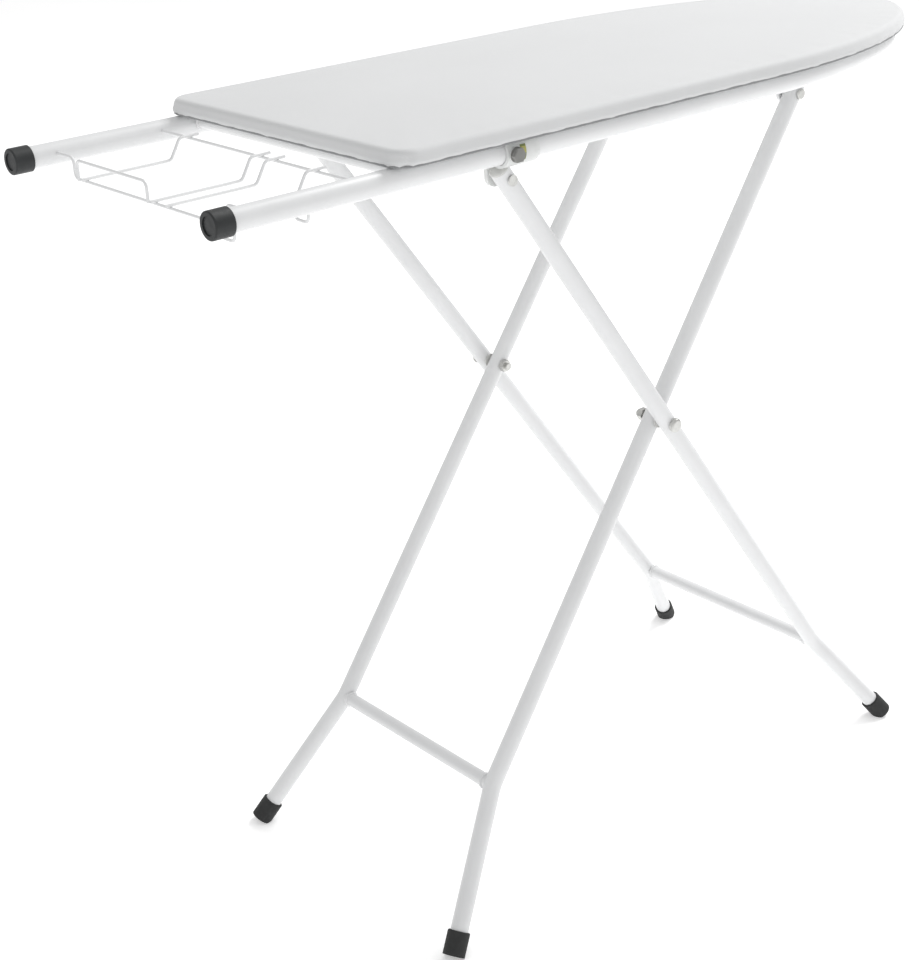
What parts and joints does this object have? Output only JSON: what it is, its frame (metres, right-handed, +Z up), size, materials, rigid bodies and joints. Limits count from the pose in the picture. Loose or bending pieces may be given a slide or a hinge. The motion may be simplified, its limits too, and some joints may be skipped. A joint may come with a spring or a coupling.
{
  "type": "folding ironing board",
  "caption": "Compact folding ironing board: padded board on a tube frame, scissor legs with splayed feet, slides that lock on the rails, and a wire iron rest at the heel.",
  "frame": {"origin": "on the floor under the middle of the board's length and width", "axes": "+X towards the rounded nose, +Y to the left when facing the nose, +Z up; standing open"},
  "size_m": [1.09, 0.4108, 0.8884],
  "materials": {
    "painted_tube": "semi-gloss white powder coat",
    "painted_plate": "semi-gloss white powder coat",
    "leg_tube": "semi-gloss white powder coat",
    "panel_steel": "satin white painted sheet",
    "foam": "matt foam",
    "cover_cloth": "light grey woven cloth",
    "rest_wire": "white coated wire",
    "black_plastic": "satin black moulding",
    "black_rubber": "matt black rubber",
    "zinc_steel": "zinc plated",
    "spacer_nylon": "white nylon",
    "shoe_plastic": "white moulding",
    "lock_plastic": "dark moulding",
    "label": "plain green film"
  },
  "bodies": {
    "board": {"rail_left": "painted_tube", "rail_cap_left": "black_plastic", "nose_bracket_left": "painted_plate", "nose_pin_left": "zinc_steel", "rail_right": "painted_tube", "rail_cap_right": "black_plastic", "nose_bracket_right": "painted_plate", "nose_pin_right": "zinc_steel", "nose_bow": "painted_tube", "heel_cross_tube": "painted_tube", "nose_cross_tube": "painted_tube", "board_panel": "panel_steel", "foam_pad": "foam", "fabric_cover": "cover_cloth", "rest_inner_wire": "rest_wire", "rest_outer_wire": "rest_wire", "rest_long_wires": "rest_wire", "rest_fence": "rest_wire", "rest_hooks": "rest_wire"},
    "inner_legs": {"inner_leg_left": "leg_tube", "inner_foot_cap_left": "black_rubber", "inner_leg_right": "leg_tube", "inner_foot_cap_right": "black_rubber", "inner_leg_crossbar": "leg_tube", "scissor_bolt_left": "zinc_steel", "scissor_nut_left": "zinc_steel", "scissor_spacer_left": "spacer_nylon", "scissor_bolt_right": "zinc_steel", "scissor_nut_right": "zinc_steel", "scissor_spacer_right": "spacer_nylon"},
    "outer_legs": {"outer_leg_left": "leg_tube", "outer_foot_cap_left": "black_rubber", "outer_leg_right": "leg_tube", "outer_foot_cap_right": "black_rubber", "outer_leg_crossbar": "leg_tube", "slide_pin_left": "zinc_steel", "slide_pin_right": "zinc_steel"},
    "slides": {"slide_shoe_left": "shoe_plastic", "slide_shoe_right": "shoe_plastic", "side_label": "label"},
    "lock_left": {"lock_bolt_left": "lock_plastic"},
    "lock_right": {"lock_bolt_right": "lock_plastic"}
  },
  "joints": [
    {"name": "fold", "type": "hinge", "parent": "board", "child": "inner_legs", "pos_m": [0.25779, 0, 0.83], "axis": [0, 1, 0], "range_deg": [0, 39]},
    {"name": "scissor", "type": "hinge", "parent": "inner_legs", "child": "outer_legs", "pos_m": [0.027, 0, 0.51], "axis": [0, 1, 0], "range_deg": [-78.1, 0.1]},
    {"name": "slide_turn", "type": "hinge", "parent": "outer_legs", "child": "slides", "pos_m": [-0.20379, 0, 0.83], "axis": [0, 1, 0], "range_deg": [-0.1, 39.1]},
    {"name": "lock_turn_left", "type": "hinge", "parent": "slides", "child": "lock_left", "pos_m": [-0.21579, 0.189, 0.86], "axis": [0, 1, 0], "range_deg": [0, 360]},
    {"name": "lock_turn_right", "type": "hinge", "parent": "slides", "child": "lock_right", "pos_m": [-0.21579, -0.189, 0.86], "axis": [0, -1, 0], "range_deg": [0, 360]}
  ],
  "couplings": [
    {"joint": "scissor", "follows": "fold", "ratio": -2},
    {"joint": "slide_turn", "follows": "fold", "ratio": 1}
  ]
}
